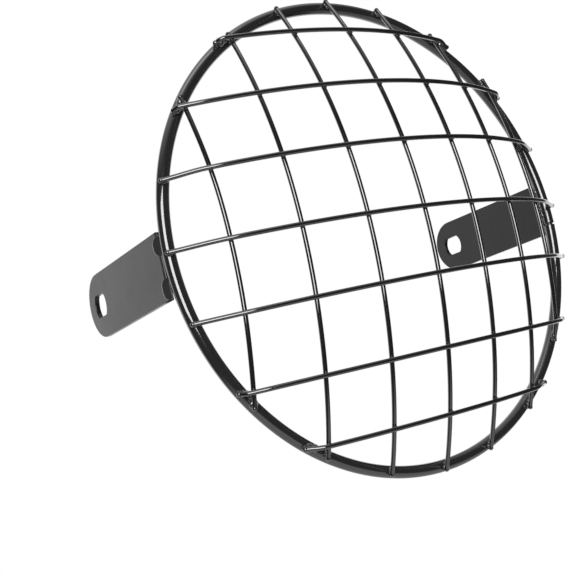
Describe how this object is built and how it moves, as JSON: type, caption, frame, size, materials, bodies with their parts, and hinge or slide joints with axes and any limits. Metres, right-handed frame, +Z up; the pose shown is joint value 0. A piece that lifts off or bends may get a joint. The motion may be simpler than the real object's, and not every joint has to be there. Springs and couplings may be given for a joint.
{
  "type": "motorcycle headlight guard",
  "caption": "Round domed wire guard for a motorcycle headlight, with a rod ring and two flat slotted side brackets.",
  "frame": {"origin": "centre of the rod ring, on the headlight's axis", "axes": "+Z up, +X to the right seen from in front, +Y back along the headlight's axis towards the motorcycle; the dome bulges towards -Y"},
  "size_m": [0.2056, 0.1131, 0.2001],
  "materials": {
    "black_paint": "gloss"
  },
  "bodies": {
    "root": {"ring": "black_paint", "bracket_left": "black_paint", "bracket_right": "black_paint", "weld_left_upper": "black_paint", "weld_left_lower": "black_paint", "weld_right_upper": "black_paint", "weld_right_lower": "black_paint", "wire_v1": "black_paint", "wire_v2": "black_paint", "wire_v3": "black_paint", "wire_v4": "black_paint", "wire_v5": "black_paint", "wire_v6": "black_paint", "wire_v7": "black_paint", "wire_h1": "black_paint", "wire_h2": "black_paint", "wire_h3": "black_paint", "wire_h4": "black_paint", "wire_h5": "black_paint", "wire_h6": "black_paint", "wire_h7": "black_paint"}
  },
  "joints": []
}
